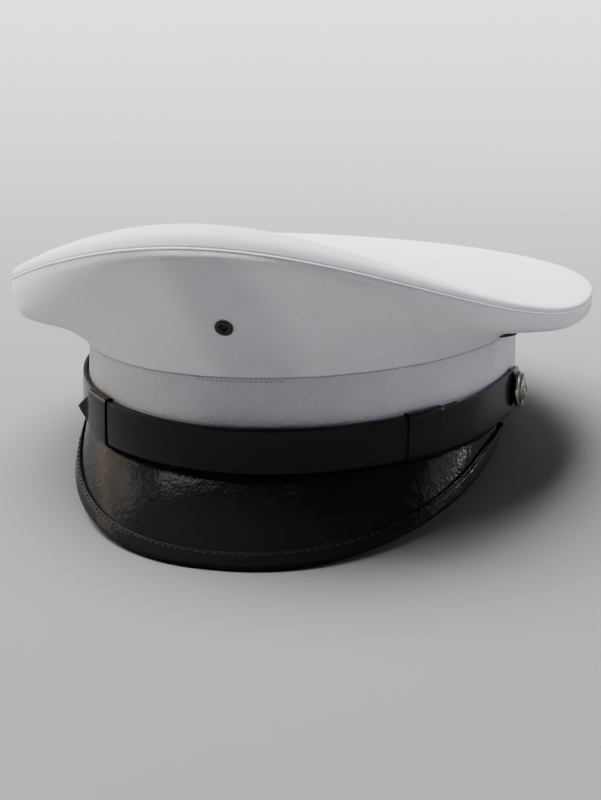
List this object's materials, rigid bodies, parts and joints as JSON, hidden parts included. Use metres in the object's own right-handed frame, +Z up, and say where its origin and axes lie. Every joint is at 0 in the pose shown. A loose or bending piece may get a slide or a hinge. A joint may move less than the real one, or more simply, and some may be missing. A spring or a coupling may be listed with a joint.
{
  "type": "peaked cap",
  "caption": "White peaked uniform cap with a wide flared crown, woven band, glossy black visor and a black chin strap fastened across the front by side buttons.",
  "frame": {"origin": "middle of the cap's box, on the surface that it rests on", "axes": "+Z up from the surface, -Y to the front of the cap (the visor), +X to the right as seen from the front"},
  "size_m": [0.2346, 0.2522, 0.1282],
  "materials": {
    "white_twill": "fine twill, matt",
    "woven_band": "fine ribbed ribbon, matt",
    "black_patent": "patent gloss with a slight orange-peel texture",
    "black_vinyl": "smooth gloss",
    "antique_silver": "antique silver, dark in the recesses",
    "black_eyelet": "black enamel",
    "dark_eyelet": "dark enamel"
  },
  "bodies": {
    "root": {"crown_top": "white_twill", "crown_side": "white_twill", "cap_band": "woven_band", "visor": "black_patent", "visor_binding": "black_patent", "chin_strap_outer": "black_vinyl", "chin_strap_under": "black_vinyl", "keeper_left": "black_vinyl", "keeper_right": "black_vinyl", "button_left": "antique_silver", "button_right": "antique_silver", "eyelet_front": "black_eyelet", "eyelet_side_left": "dark_eyelet", "eyelet_side_right": "dark_eyelet"}
  },
  "joints": []
}
